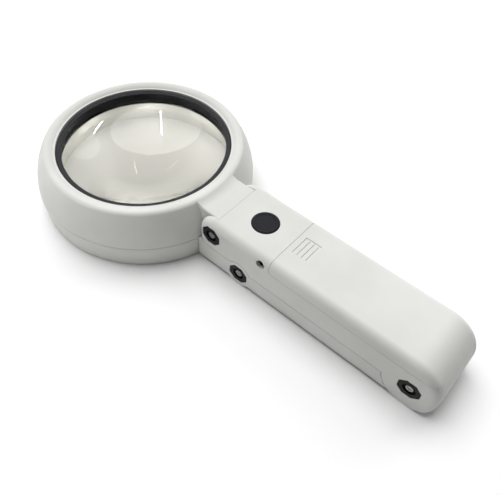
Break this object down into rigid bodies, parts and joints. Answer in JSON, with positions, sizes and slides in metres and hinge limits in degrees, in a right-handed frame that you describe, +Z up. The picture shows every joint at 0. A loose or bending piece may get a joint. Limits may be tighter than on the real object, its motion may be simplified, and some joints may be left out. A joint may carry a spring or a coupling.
{
  "type": "low vision magnifier",
  "caption": "Folding low vision magnifier: a large round lens in a deep lit head that tilts on a battery handle, with a fold-out arm and foot to stand it up.",
  "frame": {"origin": "on the table, under the middle of the folded magnifier's overall length and width", "axes": "+X along the handle from the lens to the far end, +Z up through the lens, +Y towards the side without the power inlet"},
  "size_m": [0.2904, 0.136, 0.0384],
  "materials": {
    "white_shell": "fine satin moulding",
    "black_plastic": "satin black moulding",
    "lens_glass": "polished, with an anti-reflection tint",
    "board": "green solder mask",
    "lamp": "white lamp package with a yellow phosphor face",
    "clear_plastic": "clear moulding",
    "steel": "zinc-plated",
    "spring_steel": "nickel-plated",
    "bush_brass": "turned",
    "tray_plastic": "as moulded",
    "cell_case": "printed sleeve over a metal can",
    "lead_red": "soft insulated wire",
    "weight_steel": "grey primer",
    "pad_rubber": "matt rubber"
  },
  "bodies": {
    "handle": {"handle_housing": "white_shell", "handle_base": "white_shell", "base_screws": "steel", "neck_sleeve": "steel", "neck_washers": "steel", "neck_covers": "black_plastic", "neck_screws": "steel", "arm_sleeve": "steel", "arm_washers": "steel", "arm_covers": "black_plastic", "arm_screws": "steel", "circuit_board": "board", "board_screws": "steel", "push_switch": "black_plastic", "dc_socket": "black_plastic", "dc_socket_pin": "steel", "battery_tray": "tray_plastic", "battery_near": "cell_case", "battery_middle": "cell_case", "battery_far": "cell_case", "battery_springs": "spring_steel", "battery_contacts": "spring_steel", "battery_leads": "lead_red"},
    "head": {"head_upper_shell": "white_shell", "head_lower_shell": "white_shell", "lens_hood": "black_plastic", "main_lens": "lens_glass", "lens_retainer": "black_plastic", "led_board": "board", "led_chips": "lamp", "led_lenses": "clear_plastic", "head_screws": "steel", "neck_bush": "bush_brass"},
    "arm": {"arm_channel": "white_shell", "arm_bush": "bush_brass", "foot_sleeve": "steel", "foot_washers": "steel", "foot_covers": "black_plastic", "foot_screws": "steel"},
    "foot": {"foot_plate": "white_shell", "foot_bush": "bush_brass", "foot_weight": "weight_steel", "weight_screws": "steel", "foot_pads": "pad_rubber"},
    "button": {"button_cap": "black_plastic"},
    "battery_door": {"battery_door": "white_shell"}
  },
  "joints": [
    {"name": "head_tilt", "type": "hinge", "parent": "handle", "child": "head", "pos_m": [-0.002, 0, 0.0261], "axis": [0, 1, 0], "range_deg": [0, 20]},
    {"name": "arm_swing", "type": "hinge", "parent": "handle", "child": "arm", "pos_m": [0.1298, 0, 0.0154], "axis": [0, -1, 0], "range_deg": [0, 110]},
    {"name": "foot_swing", "type": "hinge", "parent": "arm", "child": "foot", "pos_m": [0.0188, 0, 0.009], "axis": [0, 1, 0], "range_deg": [0, 120]},
    {"name": "button_press", "type": "slide", "parent": "handle", "child": "button", "axis": [0, 0, -1], "range_m": [0, 0.0012], "stiffness_N_per_m": 400, "springref_m": -0.003},
    {"name": "door_slide", "type": "slide", "parent": "handle", "child": "battery_door", "axis": [1, 0, 0], "range_m": [0, 0.11]}
  ]
}
